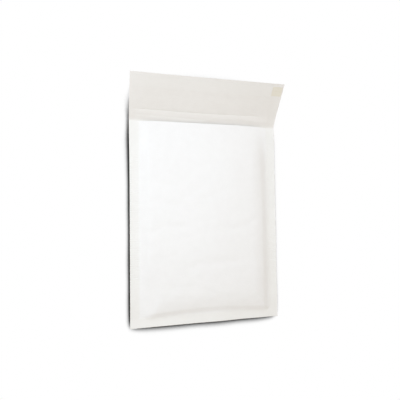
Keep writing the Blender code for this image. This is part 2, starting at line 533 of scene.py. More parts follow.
    def __post_init__(self) -> None:
        """Read the outline and the pocket's depth from the frame."""
        low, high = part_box("paper_envelope")
        front_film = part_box("front_bubble_lining")
        self.edge_x = float(high[0])
        self.fold_y = float(low[1])
        self.flap_y = -self.fold_y
        self.seam_x = self.edge_x - self.seam_width
        self.foot_y = self.fold_y + self.fold_band
        self.rim_y = self.flap_y - self.rim_setback
        self.seam_z = self.seam_lift + self.solid_paper
        self.front_depth = float(front_film[1][2]) + self.film_gap - self.seam_z

    def side_fullness(self, x: np.ndarray, y: np.ndarray) -> np.ndarray:
        """How far the padding lifts the paper, by the distance from the side seams.

        Args:
            x: Places across the envelope.
            y: Places along the envelope. The left slope is widest at the bottom corner, and
                the right one stands in and widens towards the mouth.

        Returns:
            0 at the seams and 1 between the padded slopes.
        """
        from_left = self.seam_x + x
        facet = self.corner_slope.at(from_left)
        facet_end, slope_start = self.corner_fade
        past_corner = smooth(y, self.foot_y + facet_end, self.foot_y + slope_start)
        left = facet + (self.left_slope.at(from_left) - facet) * past_corner
        inset = self.mouth_inset * smooth(y, self.inset_start, self.rim_y - self.inset_end)
        from_right = self.seam_x - inset - x
        steep = self.right_slope.at(from_right)
        slope_end, mouth_start = self.mouth_fade
        near_mouth = smooth(y, self.rim_y - slope_end, self.rim_y - mouth_start)
        right = steep + (self.mouth_slope.at(from_right) - steep) * near_mouth
        return left * right

    def foot_fullness(self, x: np.ndarray, y: np.ndarray) -> np.ndarray:
        """How far the padding lifts the paper, by the distance from the bottom band.

        Args:
            x: Places across the envelope. The foot arches up between its corners.
            y: Places along the envelope.

        Returns:
            0 on the bottom band and 1 past the padded foot.
        """
        across = np.clip(np.abs(x) / self.seam_x, 0, 1)
        arch = self.foot_arch * np.cos(across * math.pi / 2) ** self.arch_power
        return self.foot_slope.at(y - self.foot_y - self.foot_corner - arch)

    def mouth_fullness(self, y: np.ndarray) -> np.ndarray:
        """Share of the padding's height that is left where the panels close up to the mouth."""
        return 1 - (1 - self.mouth_share) * smooth(y, self.rim_y - self.mouth_reach, self.rim_y)

    def padding(self, x: np.ndarray, y: np.ndarray) -> np.ndarray:
        """Share of the full padding, with mitred corners where the side meets the foot.

        Args:
            x: Places across the envelope.
            y: Places along the envelope.

        Returns:
            0 on the seams and 1 where the padding is full.
        """
        side = 1 - self.side_fullness(x, y)
        foot = 1 - self.foot_fullness(x, y)
        lacking = (side**self.mitre + foot**self.mitre) ** (1 / self.mitre)
        return np.maximum(1 - lacking, 0) * self.mouth_fullness(y)

    def front_relief(self, x: np.ndarray, y: np.ndarray) -> np.ndarray:
        """Crown, rolling and creases of the front panel, which fade at its seams.

        Args:
            x: Places across the envelope.
            y: Places along the envelope.

        Returns:
            The height to add to the front panel.
        """
        padded = self.padding(x, y)
        arch = ramp(self.seam_x - np.abs(x), self.seam_x) * ramp(y - self.foot_y, self.flap_y)
        relief = self.crown * arch + padded * (self.rolling.at(x, y) + self.dimpling.at(x, y))
        for crease in self.front_creases:
            relief = relief + padded * crease.relief(x, y)
        return relief

    def crimp(self, x: np.ndarray, y: np.ndarray) -> np.ndarray:
        """Fine ribs that the sealing jaws press across the side seams.

        Args:
            x: Places across the envelope.
            y: Places along the envelope.

        Returns:
            Height of the ribs, over or under 0.
        """
        inner = self.seam_x - self.crimp_overlap
        band = smooth(np.abs(x), inner, inner + self.crimp_onset)
        faded = self.crimp_floor + sum(part.at(x, y) for part in self.crimping)
        none, full = self.crimp_clear
        clear_of_fold = smooth(y, self.foot_y + none, self.foot_y + full)
        ribs = np.cos(math.tau * (y - self.crimp_crest) / self.crimp_pitch)
        return self.crimp_height * band * faded * clear_of_fold * ribs

    def seam_level(self, x: np.ndarray, y: np.ndarray) -> np.ndarray:
        """Height of the seams' middle, which curls up at its edge and carries the ribs.

        Args:
            x: Places across the envelope.
            y: Places along the envelope.

        Returns:
            The height over the floor.
        """
        out = smooth(np.abs(x), self.seam_x - self.wave_onset, self.edge_x)
        band = np.maximum(out, 1 - self.foot_fullness(x, y))
        past_side = np.maximum(np.abs(x) - self.seam_x, 0) / self.seam_width
        past_foot = np.maximum(self.foot_y - y, 0) / self.fold_band
        even = self.even_curl * (past_side + past_foot)
        steepening = (1 - self.even_curl) * (past_side**2 + past_foot**2)
        curl = self.seam_curl * (even + steepening)
        return self.seam_z + curl + band * self.seam_waves.at(x, y) + self.crimp(x, y)

    def front_inner(self, x: np.ndarray, y: np.ndarray) -> np.ndarray:
        """Height of the inner side of the front panel."""
        depth = self.front_depth + self.solid_paper - self.paper
        return self.seam_level(x, y) + depth * self.padding(x, y) + self.front_relief(x, y)

    def front_outer(self, x: np.ndarray, y: np.ndarray) -> np.ndarray:
        """Height of the face of the front panel."""
        return self.front_inner(x, y) + self.paper

    def back_inner(self, x: np.ndarray, y: np.ndarray) -> np.ndarray:
        """Height of the inner side of the back panel."""
        return self.back_outer(x, y) + self.paper

    def back_outer(self, x: np.ndarray, y: np.ndarray) -> np.ndarray:
        """Height of the outside of the back panel, which rests flat where it is padded."""
        return (self.seam_level(x, y) - self.paper) * (1 - self.padding(x, y))

    def flap_point(self, x: np.ndarray, along: np.ndarray, height: float) -> np.ndarray:
        """Points on the flap at a height over its underside.

        Args:
            x: Places across the flap.
            along: Distances from the fold that the flap stands up from.
            height: Distance over the underside, square to the sheet.

        Returns:
            Points with three coordinates each.
        """
        step = self.crease_softness / 2
        before = self.flap_line(x, np.maximum(along - step, 0))
        after = self.flap_line(x, np.minimum(along + step, self.flap_length))
        run = after - before
        run /= np.linalg.norm(run, axis=-1, keepdims=True)
        lift = self.flap_relief(x, along) + height
        point = self.flap_line(x, along)
        point[..., 1] -= lift * run[..., 2]
        point[..., 2] += lift * run[..., 1]
        return point

    def flap_line(self, x: np.ndarray, along: np.ndarray) -> np.ndarray:
        """Underside of the flap: a band up to its crease, then a steeper straight run.

        Args:
            x: Places across the flap.
            along: Distances from the fold.

        Returns:
            Points with three coordinates each.
        """
        x, along = np.broadcast_arrays(x, along)
        mouth = np.full(x.shape, self.flap_y)
        full = self.side_fullness(x, mouth)
        lean = self.edge_lean + (self.crease_lean - self.edge_lean) * full
        root_z = self.seam_level(x, mouth) - self.paper
        low = np.minimum(along, self.crease_distance)
        beyond = along - self.crease_distance
        share = np.clip(beyond / (self.flap_length - self.crease_distance), 0, 1)
        crease_y = self.flap_y + low * np.cos(lean)
        crease_z = root_z + low * np.sin(lean)
        top_y = self.flap_y + self.flap_length * math.cos(self.flap_lean)
        top_z = self.seam_z - self.paper + self.flap_length * math.sin(self.flap_lean)
        y = crease_y + (top_y - crease_y) * share
        z = crease_z + (top_z - crease_z) * share
        return np.stack([x, y, z], axis=-1)

    def flap_relief(self, x: np.ndarray, along: np.ndarray) -> np.ndarray:
        """Creases and slow waves of the flap.

        Args:
            x: Places across the flap.
            along: Distances from the fold.

        Returns:
            The height to add, square to the sheet.
        """
        free = smooth(along, self.flap_hold, self.flap_free)
        relief = self.flap_rolling * free * self.rolling.at(x + self.flap_shift, along)
        for crease in self.flap_creases:
            relief = relief + crease.relief(x, along) * smooth(along, 0, self.flap_hold)
        return relief

    def settle(self, points: np.ndarray) -> np.ndarray:
        """Lift the mouth's left corner, where the stiff seam end pulls up with the flap.

        Args:
            points: Points anywhere on the envelope.

        Returns:
            The same points after the lift, which leaves what rests on the floor.
        """
        settled = points.copy()
        along = (points[..., 1] - self.flap_y) * self.corner_squeeze
        gap = np.hypot(points[..., 0] + self.edge_x, along)
        free = smooth(points[..., 2], 0, self.seam_lift)
        lift = self.corner_lift * np.exp(-((gap / self.corner_reach) ** 2)) * free
        settled[..., 2] += lift
        settled[..., 0] -= self.corner_pull * lift
        return settled

    def bow_rim(self, points: np.ndarray) -> np.ndarray:
        """Move the middle of the front panel's rim a little towards the flap.

        Args:
            points: Points on the front panel.

        Returns:
            The same points after the move.
        """
        bowed = points.copy()
        near = smooth(points[..., 1], self.rim_y - self.bow_reach, self.rim_y)
        from_seam = self.seam_x - np.abs(points[..., 0])
        middle = ramp(from_seam, self.bow_shoulder * self.seam_x)
        bowed[..., 1] += self.rim_bow * near * middle
        return bowed


@dataclass
class PaperSleeve:
    """The folded and sealed sheet of paper, with its flap.

    Attributes:
        form: The form of the envelope.
        outside: Finish of the outside.
        inside: Finish of the inside of the pocket and of the flap, darker partly as painted shade.
        seam_columns: Columns of faces across each seam.
        slope_columns: Columns across each padded slope.
        panel_columns: Columns from the middle to a slope.
        rib_rows: Rows for each rib of the seams.
        pocket_rows: Rows along the pocket.
        flap_rows: Rows along the flap, half of them up to just past its crease.
        past_crease: How far past the crease the closer rows go.
    """

    form: EnvelopeForm
    outside: bpy.types.Material
    inside: bpy.types.Material
    seam_columns: int = 5
    slope_columns: int = 22
    panel_columns: int = 30
    rib_rows: int = 4
    pocket_rows: int = 90
    flap_rows: int = 62
    past_crease: float = 2 * MM

    def columns(self) -> np.ndarray:
        """Lay out the columns, closer together on the padded slopes.

        Returns:
            Places across the sheet, from left to right.
        """
        form = self.form
        slope_end = form.seam_x - form.right_slope.shoulder * MM
        half = np.concatenate([
            np.linspace(0, slope_end, self.panel_columns, endpoint=False),
            np.linspace(slope_end, form.seam_x, self.slope_columns, endpoint=False),
            np.linspace(form.seam_x, form.edge_x, self.seam_columns + 1),
        ])
        return np.concatenate([-half[:0:-1], half])

    def rows(self) -> np.ndarray:
        """Lay out the rows of the panels, with a few for each rib of the seams.

        Returns:
            Places along the panels, from the bottom fold to the rim.
        """
        form = self.form
        step = form.crimp_pitch / self.rib_rows
        count = round((form.rim_y - form.fold_y) / step)
        return np.linspace(form.fold_y + form.paper, form.rim_y, count)

    def pocket_row_places(self) -> np.ndarray:
        """Places along the pocket, from where the two plies part to the rim."""
        start = self.form.foot_y + self.form.foot_corner
        return np.linspace(start, self.form.rim_y, self.pocket_rows)

    def flap_row_places(self) -> np.ndarray:
        """Distances of the flap's rows from its fold, closer together up to its crease."""
        turn, half = self.form.crease_distance + self.past_crease, self.flap_rows // 2
        lower = np.linspace(0, turn, half, endpoint=False)
        return np.concatenate([lower, np.linspace(turn, self.form.flap_length, half)])

    def surface(self, x: np.ndarray, y: np.ndarray, height: HeightAt) -> np.ndarray:
        """Settled points of a panel, by a height function of the form."""
        x, y = np.meshgrid(x, y)
        return self.form.settle(np.stack([x, y, height(x, y)], axis=-1))

    def flap_surface(self, x: np.ndarray, height: float) -> np.ndarray:
        """Settled points of the flap at a height over its underside."""
        x, along = np.meshgrid(x, self.flap_row_places())
        return self.form.settle(self.form.flap_point(x, along, height))

    def build(self) -> bpy.types.Object:
        """Make the sleeve as one closed mesh.

        Returns:
            The finished piece, on the body, with its solid hidden.
        """
        form = self.form
        mesh = SheetMesh("paper_sleeve")
        x = self.columns()
        inner = slice(self.seam_columns, len(x) - self.seam_columns)
        y = self.rows()
        front = mesh.grid(form.bow_rim(self.surface(x, y, form.front_outer)))
        back = mesh.grid(self.surface(x, y, form.back_outer))
        fold = mesh.grid(self.surface(x, np.array([form.fold_y]), form.seam_level))
        mesh.skin(front)
        mesh.skin(back)
        mesh.skin(np.stack([back[0], fold[0], front[0]]))

        pocket_y = self.pocket_row_places()
        ceiling = mesh.grid(form.bow_rim(self.surface(x[inner], pocket_y, form.front_inner)))
        floor = mesh.grid(self.surface(x[inner], pocket_y, form.back_inner))
        floor[0] = ceiling[0]
        floor[:, 0] = ceiling[:, 0]
        floor[:, -1] = ceiling[:, -1]
        mesh.skin(ceiling, Side.INSIDE)
        mesh.skin(floor, Side.INSIDE)
        self.build_flap(mesh, x, front, back, ceiling, floor)
        for end in (0, -1):
            mesh.face((back[0, end], fold[0, end], front[0, end]))
        made = mesh.finish([self.outside, self.inside], sharp=math.radians(55))
        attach(made, BODY)
        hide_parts("paper_envelope")
        return made

    def build_flap(self, mesh: SheetMesh, x: np.ndarray, front: np.ndarray, back: np.ndarray,
                   ceiling: np.ndarray, floor: np.ndarray) -> None:
        """Add the flap, the rim of the front panel and the side edges.

        Args:
            mesh: The mesh that the sleeve is put together in.
            x: Places across the sheet.
            front: Point numbers of the front panel's face.
            back: Point numbers of the back panel's outside.
            ceiling: Point numbers of the pocket's upper side.
            floor: Point numbers of the pocket's lower side.
        """
        form = self.form
        under = mesh.grid(self.flap_surface(x, 0.0))
        over = mesh.grid(self.flap_surface(x, form.paper))
        rim = np.array([form.rim_y])
        ends = x[:self.seam_columns], x[-self.seam_columns:]
        left, right = (mesh.grid(self.surface(end, rim, form.back_inner))[0] for end in ends)
        sill = np.concatenate([left, floor[-1], right])
        lip = np.concatenate([left, ceiling[-1], right])
        mesh.skin(np.concatenate([back[-1:], under]))
        mesh.skin(np.concatenate([sill[None], over]), Side.INSIDE)
        mesh.skin(np.stack([lip, front[-1]]))
        mesh.skin(np.stack([under[-1], over[-1]]))
        for end in (0, -1):
            mesh.skin(np.stack([back[:-1, end], front[:-1, end]]))
            mesh.face((back[-2, end], back[-1, end], sill[end], front[-1, end], front[-2, end]))
            low = np.concatenate([[back[-1, end]], under[:, end]])
            high = np.concatenate([[sill[end]], over[:, end]])
            mesh.skin(np.stack([low, high]))


@dataclass
class BubbleFilm:
    """Film with round air bubbles that lines one panel of the pocket.

    Attributes:
        form: The form of the envelope.
        face: The panel that the film lines.
        node: The solid that it stands for.
        material: Finish of the film.
        film: Thickness of the film between its bubbles.
        bubble_radius: Radius of a bubble.
        bubble_spacing: Flat film between two bubbles.
        border: Flat film between the outer bubbles and the film's edge.
        dome_power: How square the domes' shoulders are. 2 is a ball's.
        spacing: Distance from point to point of the mesh.
    """

    form: EnvelopeForm
    face: Face
    node: str
    material: bpy.types.Material
    film: float = 0.12 * MM
    bubble_radius: float = 5.8 * MM
    bubble_spacing: float = 3.3 * MM
    border: float = 1.0 * MM
    dome_power: float = 2.6
    spacing: float = 1.0 * MM

    def __post_init__(self) -> None:
        """Read the film's place and the height of its bubbles from its solid."""
        low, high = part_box(self.node)
        self.low = Vector(low)
        self.high = Vector(high)
        self.depth = float(high[2] - low[2]) - self.film

    def centres(self) -> np.ndarray:
        """Lay out the bubbles in rows that are offset by half a pitch.

        Returns:
            The centre of each bubble, by its two coordinates.
        """
        reach = self.bubble_radius + self.border
        pitch = 2 * self.bubble_radius + self.bubble_spacing
        spare_x = self.high.x - self.low.x - 2 * reach
        spare_y = self.high.y - self.low.y - 2 * reach
        columns = int(spare_x / pitch) + 1
        rows = int(spare_y / (pitch * math.sqrt(3) / 2)) + 1
        found = []
        for row in range(rows):
            shift = row % 2
            for column in range(columns - shift):
                x = self.low.x + reach + (column + shift / 2) * spare_x / (columns - 1)
                y = self.low.y + reach + row * spare_y / (rows - 1)
                found.append((x, y))
        return np.array(found)

    def bubbles(self, x: np.ndarray, y: np.ndarray) -> np.ndarray:
        """Height of the bubbles over the film, which is less where the pocket is low.

        Args:
            x: Places across the film.
            y: Places along the film.

        Returns:
            The height at each point, and 0 between the bubbles.
        """
        height = np.zeros(x.shape)
        for centre_x, centre_y in self.centres():
            share = np.hypot(x - centre_x, y - centre_y) / self.bubble_radius
            dome = np.sqrt(np.clip(1 - share**self.dome_power, 0, 1))
            height = np.maximum(height, self.depth * dome)
        room = (self.form.front_inner(x, y) - self.form.back_inner(x, y)) / 2 - self.film
        return np.minimum(height, room - 2 * self.form.film_gap)

    def build(self) -> bpy.types.Object:
        """Make the film as one closed mesh.

        Returns:
            The finished piece, on the body, with its solid hidden.
        """
        form = self.form
        mesh = SheetMesh("front_bubble_film" if self.face is Face.FRONT else "back_bubble_film")
        across = round((self.high.x - self.low.x) / self.spacing)
        along = round((self.high.y - self.low.y) / self.spacing)
        x, y = np.meshgrid(
            np.linspace(self.low.x, self.high.x, across),
            np.linspace(self.low.y, self.high.y, along),
        )
        panel = form.front_inner(x, y) if self.face is Face.FRONT else form.back_inner(x, y)
        base = panel + self.face.value * form.film_gap / 2
        inward = base + self.face.value * (self.film + self.bubbles(x, y))
        outer, inner = (form.settle(np.stack([x, y, z], axis=-1)) for z in (base, inward))
        mesh.slab(outer, inner)
        made = mesh.finish([self.material], sharp=math.radians(60))
        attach(made, BODY)
        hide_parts(self.node)
        return made


@dataclass
class FlapStrip:
    """A thin strip that lies along the flap.

    Attributes:
        form: The form of the envelope.
        name: Name of the piece.
        node: The solid that it stands for.
        slot: Name of its material slot. Not used.
        material: Its finish.
        low_x: Left end of the strip.
        high_x: Right end of the strip.
        low_along: Distance of its lower edge from the flap's fold.
        high_along: Distance of its upper edge from the flap's fold.
        height: How far it lies over the flap's paper.
        thickness: Thickness of the strip.
        lifted_end: How far its right end stands up.
        lifted_length: Length of that end.
        columns: Points across the strip.
        rows: Points from its lower edge to its upper one.
    """

    form: EnvelopeForm
    name: str
    node: str
    slot: str
    material: bpy.types.Material
    low_x: float
    high_x: float
    low_along: float
    high_along: float
    height: float
    thickness: float
    lifted_end: float = 0.0
    lifted_length: float = 9 * MM
    columns: int = 90
    rows: int = 9

    def surface(self, height: float) -> np.ndarray:
        """Settled points of the strip.

        Args:
            height: Distance over the flap's underside.

        Returns:
            Points with three coordinates each, by row and column.
        """
        x, along = np.meshgrid(
            np.linspace(self.low_x, self.high_x, self.columns),
            np.linspace(self.low_along, self.high_along, self.rows),
        )
        points = self.form.flap_point(x, along, height)
        points[..., 2] += self.lifted_end * smooth(x, self.high_x - self.lifted_length, self.high_x)
        return self.form.settle(points)

    def build(self) -> bpy.types.Object:
        """Make the strip as one closed mesh.

        Returns:
            The finished piece, on the body, with its solid hidden.
        """
        mesh = SheetMesh(self.name)
        base = self.form.paper + self.height
        mesh.slab(self.surface(base), self.surface(base + self.thickness))
        made = mesh.finish([self.material], sharp=math.radians(40))
        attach(made, BODY)
        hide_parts(self.node)
        return made


class NodeTree:
    """Short calls that add and link shader nodes."""

    def __init__(self, tree: bpy.types.NodeTree) -> None:
        """Work on one node tree."""
        self.tree = tree

    def give(self, socket: bpy.types.NodeSocket, value: object) -> None:
        """Link an output socket to an input, or set the input's own value.

        Args:
            socket: The input.
            value: An output socket, or a plain value.
        """
        if isinstance(value, bpy.types.NodeSocket):
            self.tree.links.new(value, socket)
        else:
            socket.default_value = value

    def feed(self, node: bpy.types.Node, inputs: dict) -> None:
        """Give values or output sockets to a node's inputs, by name or number."""
        for name, value in inputs.items():
            self.give(node.inputs[name], value)

    def add(self, kind: str, inputs: dict | None = None, **settings: object) -> bpy.types.Node:
        """Add a node.

        Args:
            kind: The node's type name.
            inputs: Values or output sockets for its inputs, by name or number.
            **settings: Values for the node's own properties.

        Returns:
            The new node.
        """
        node = self.tree.nodes.new(kind)
        for name, value in settings.items():
            setattr(node, name, value)
        self.feed(node, inputs or {})
        return node

    def math(self, operation: str, first: object, second: object = 0.0) -> bpy.types.NodeSocket:
        """Join two values by a sum or another operation, and give its output."""
        return self.add("ShaderNodeMath", {0: first, 1: second}, operation=operation).outputs[0]

    def weigh(self, first: object, second: object, share: float) -> bpy.types.NodeSocket:
        """Join two values, the second one by its share and the first by the rest."""
        rest = self.math("MULTIPLY", first, 1 - share)
        return self.math("ADD", rest, self.math("MULTIPLY", second, share))

    def mix(self, share: object, first: object, second: object,
            blend: str = "MIX") -> bpy.types.NodeSocket:
        """Mix or blend two colours.

        Args:
            share: Share of the second colour.
            first: The first colour.
            second: The second colour.
            blend: How the two are joined.

        Returns:
            The mixed colour.
        """
        node = self.add("ShaderNodeMix", data_type="RGBA", blend_type=blend)
        for name, value in (("Factor", share), ("A", first), ("B", second)):
            self.give(next(s for s in node.inputs if s.name == name and s.enabled), value)
        return next(s for s in node.outputs if s.enabled)

    def noise(self, place: bpy.types.NodeSocket, scale: float, detail: float,
              roughness: float = 0.5) -> bpy.types.NodeSocket:
        """Noise over a surface.

        Args:
            place: Coordinates of the surface.
            scale: How many times the noise changes in a metre.
            detail: How many finer layers it has.
            roughness: How strong those are.

        Returns:
            A value from 0 to 1.
        """
        inputs = {"Vector": place, "Scale": scale, "Detail": detail, "Roughness": roughness}
        return self.add("ShaderNodeTexNoise", inputs).outputs[0]

    def spread(self, value: object, taken: Span, given: Span) -> bpy.types.NodeSocket:
        """Map a value from one range to another, with both ends held.

        Args:
            value: The value to map.
            taken: The range that it is taken from.
            given: The range that it is brought to.

        Returns:
            The mapped value.
        """
        limits = zip(("From Min", "From Max", "To Min", "To Max"), (*taken, *given))
        return self.add("ShaderNodeMapRange", {"Value": value, **dict(limits)}).outputs[0]

    def surface(self, colour: bpy.types.NodeSocket, rough: bpy.types.NodeSocket,
                relief: bpy.types.NodeSocket, strength: float, height: float) -> None:
        """Feed the material's shader.

        Args:
            colour: Colour of the surface.
            rough: Roughness of the surface.
            relief: Height of the fine relief, from 0 to 1.
            strength: How much of the relief shows.
            height: Full height of the relief, in metres.
        """
        bump = {"Height": relief, "Strength": strength, "Distance": height}
        normal = self.add("ShaderNodeBump", bump).outputs[0]
        shader = self.tree.nodes["Principled BSDF"]
        self.feed(shader, {"Base Color": colour, "Roughness": rough, "Normal": normal})


def new_material(name: str) -> tuple[bpy.types.Material, NodeTree]:
    """Start a material that uses nodes, and give it with the calls for its nodes."""
    material = bpy.data.materials.new(name)
    material.use_nodes = True
    return material, NodeTree(material.node_tree)


def new_group(name: str, inputs: dict[str, Socket], outputs: tuple[str, ...]) -> NodeTree:
    """Start a shader node group with named sockets.

    Args:
        name: Name of the group.
        inputs: The kind of each input by its name.
        outputs: Names of the outputs, which are all values.

    Returns:
        The calls for the group's nodes.
    """
    group = bpy.data.node_groups.new(name, "ShaderNodeTree")
    for label, kind in inputs.items():
        group.interface.new_socket(label, in_out="INPUT", socket_type=kind.value)
    for label in outputs:
        group.interface.new_socket(label, in_out="OUTPUT", socket_type=Socket.VALUE.value)
    return NodeTree(group)


def directly_seen(tree: NodeTree) -> bpy.types.NodeSocket:
    """Tell the rays that show a surface from those that light the object.

    Args:
        tree: The nodes of the material or the world.

    Returns:
        1 for rays from the camera, in a reflection or through film, and 0 for light.
    """
    path = tree.add("ShaderNodeLightPath")
    seen = tree.math("MAXIMUM", path.outputs["Is Camera Ray"], path.outputs["Is Glossy Ray"])
    return tree.math("MAXIMUM", seen, path.outputs["Is Transmission Ray"])


@dataclass(frozen=True)
class PaperFibres:
    """Shared effect: the fibres and the cloudy formation of paper.

    Attributes:
        layers: Turn in radians and stretch of each layer of fibres.
        speck_scale: Scale of the specks between the fibres.
        speck_share: Share of the specks in the grain.
        cloud_scale: Scale of the clouds.
        cloud_roughness: How ragged the clouds are.
        cloud_share: Share of the clouds in the height.
    """

    layers: tuple[tuple[float, Place], ...] = (
        (0.35, (260, 1500, 700)),
        (-0.9, (1400, 300, 700)),
        (1.9, (330, 1250, 700)),
    )
    speck_scale: float = 2400.0
    speck_share: float = 0.3
    cloud_scale: float = 110.0
    cloud_roughness: float = 0.62
    cloud_share: float = 0.4

    def build(self) -> bpy.types.NodeTree:
        """Make the shader node group.

        Returns:
            A group that puts out a fine grain, slow clouds and a height, each from 0 to 1.
        """
        sockets = {"Vector": Socket.VECTOR, "Grain Size": Socket.VALUE}
        tree = new_group("paper_fibres", sockets, ("Grain", "Clouds", "Height"))
        given = tree.add("NodeGroupInput").outputs
        scaled = {0: given["Vector"], "Scale": given["Grain Size"]}
        place = tree.add("ShaderNodeVectorMath", scaled, operation="SCALE").outputs[0]
        strands = []
        for turn, stretch in self.layers:
            lay = {"Vector": place, "Rotation": (0, 0, turn), "Scale": stretch}
            strands.append(tree.noise(tree.add("ShaderNodeMapping", lay).outputs[0], 1.0, 3.0))
        fibres = strands[0]
        for strand in strands[1:]:
            fibres = tree.math("MAXIMUM", fibres, strand)
        specks = tree.noise(place, self.speck_scale, 2.0)
        clouds = tree.noise(place, self.cloud_scale, 4.0, self.cloud_roughness)
        grain = tree.weigh(fibres, specks, self.speck_share)
        height = tree.weigh(grain, clouds, self.cloud_share)
        tree.add("NodeGroupOutput", {0: grain, 1: clouds, 2: height})
        return tree.tree


def seal_mask_group() -> bpy.types.NodeTree:
    """Make the shader node group for the flat band where two plies of paper are sealed.

    Returns:
        A group that puts out 1 on the band and 0 inside it.
    """
    sizes = dict.fromkeys(("Seam X", "Foot Y", "Mouth Y", "Softness"), Socket.VALUE)
    tree = new_group("seal_mask", {"Vector": Socket.VECTOR, **sizes}, ("Mask",))
    given = tree.add("NodeGroupInput").outputs
    place = tree.add("ShaderNodeSeparateXYZ", {0: given["Vector"]}).outputs
    past_side = tree.math("SUBTRACT", tree.math("ABSOLUTE", place["X"]), given["Seam X"])
    past_foot = tree.math("SUBTRACT", given["Foot Y"], place["Y"])
    past = tree.math("DIVIDE", tree.math("MAXIMUM", past_side, past_foot), given["Softness"])
    sealed = tree.add("ShaderNodeClamp", {0: tree.math("ADD", past, 0.5)}).outputs[0]
    before_mouth = tree.math("LESS_THAN", place["Y"], given["Mouth Y"])
    tree.add("NodeGroupOutput", {0: tree.math("MULTIPLY", sealed, before_mouth)})
    return tree.tree


@dataclass(frozen=True)
class SealTone:
    """How much darker and warmer paper looks where its two plies are sealed.

    Attributes:
        mask: The shared group that marks the sealed band.
        sizes: Values for the group's inputs by name.
        colour: Colour that multiplies the paper's own.
    """

    mask: bpy.types.NodeTree
    sizes: dict[str, float]
    colour: Colour = (0.975, 0.972, 0.952)

    def over(self, tree: NodeTree, place: bpy.types.NodeSocket,
             colour: bpy.types.NodeSocket) -> bpy.types.NodeSocket:
        """Multiply a colour by the tone of the sealed band.

        Args:
            tree: The nodes of the material.
            place: Coordinates of the surface.
            colour: The paper's own colour.

        Returns:
            The colour with the band's tone on it.
        """
        mask = tree.add("ShaderNodeGroup", {"Vector": place, **self.sizes}, node_tree=self.mask)
        tone = tree.mix(mask.outputs["Mask"], (1, 1, 1, 1), (*self.colour, 1))
        return tree.mix(1.0, colour, tone, blend="MULTIPLY")


@dataclass(frozen=True)
class PaperFinish:
    """Uncoated or lightly coated paper.

    Attributes:
        name: Name of the material.
        light: Colour of the paper where it is thickest.
        shade: Colour where the fibres let more through.
        roughness: Roughness of the surface.
        bump: Height of the fibres.
        grain_size: Scale of the fibres, 1 for the sleeve's paper.
        coat: Weight of a thin gloss coat.
        seal: Tone of the sealed band, or None where the paper has none.
        cloud_share: Share of the clouds in the change from shade to light.
        tone_range: Range of the fibres and clouds that the change is spread over.
        grain_range: Range of the grain that the roughness is spread over.
        rough_change: How far the roughness goes up and down with the grain.
        relief: How much of the fibres' height shows.
        specular: Strength of the plain reflection.
        coat_roughness: Roughness of the gloss coat.
    """

    name: str
    light: Colour
    shade: Colour
    roughness: float
    bump: float
    grain_size: float = 1.0
    coat: float = 0.0
    seal: SealTone | None = None
    cloud_share: float = 0.45
    tone_range: Span = (0.38, 0.66)
    grain_range: Span = (0.3, 0.8)
    rough_change: float = 0.06
    relief: float = 0.5
    specular: float = 0.35
    coat_roughness: float = 0.35

    def build(self, fibres: bpy.types.NodeTree) -> bpy.types.Material:
        """Make the material.

        Args:
            fibres: The shared group of paper fibres.

        Returns:
            The material.
        """
        material, tree = new_material(self.name)
        place = tree.add("ShaderNodeTexCoord").outputs["Object"]
        values = {"Vector": place, "Grain Size": self.grain_size}
        paper = tree.add("ShaderNodeGroup", values, node_tree=fibres).outputs
        tone = tree.weigh(paper["Grain"], paper["Clouds"], self.cloud_share)
        share = tree.spread(tone, self.tone_range, (0, 1))
        colour = tree.mix(share, (*self.shade, 1), (*self.light, 1))
        if self.seal:
            colour = self.seal.over(tree, place, colour)
        finer, rougher = self.roughness - self.rough_change, self.roughness + self.rough_change
        rough = tree.spread(paper["Grain"], self.grain_range, (finer, rougher))
        tree.surface(colour, rough, paper["Height"], self.relief, self.bump)
        tree.feed(tree.tree.nodes["Principled BSDF"], {
            "Specular IOR Level": self.specular,
            "Coat Weight": self.coat,
            "Coat Roughness": self.coat_roughness,
        })
        return material


@dataclass(frozen=True)
class FilmFinish:
    """Clear polyethylene film.

    Attributes:
        name: Name of the material.
        colour: Colour where the film is clear.
        haze: Colour where it is hazy.
        haze_scale: Scale of the haze.
        dent_scale: Scale of the soft dents.
        dent_height: Height of the dents.
        roughness: Least and greatest roughness.
        alpha: How much of what is behind the film it covers.
    """

    name: str = "clear_bubble_film"
    colour: Colour = (0.86, 0.88, 0.89)
    haze: Colour = (0.78, 0.81, 0.83)
    haze_scale: float = 90.0
    dent_scale: float = 420.0
    dent_height: float = 0.15 * MM
    roughness: Span = (0.10, 0.24)
    alpha: float = 0.55

    def build(self) -> bpy.types.Material:
        """Make the material, with a faint haze and soft dents.

        Returns:
            The material.
        """
        material, tree = new_material(self.name)
        place = tree.add("ShaderNodeTexCoord").outputs["Object"]
        haze = tree.noise(place, self.haze_scale, 3.0)
        dents = tree.noise(place, self.dent_scale, 2.0)
        colour = tree.mix(haze, (*self.haze, 1), (*self.colour, 1))
        rough = tree.spread(haze, (0, 1), self.roughness)
        tree.surface(colour, rough, dents, 0.4, self.dent_height)
        tree.feed(tree.tree.nodes["Principled BSDF"], {"Alpha": self.alpha})
        return material


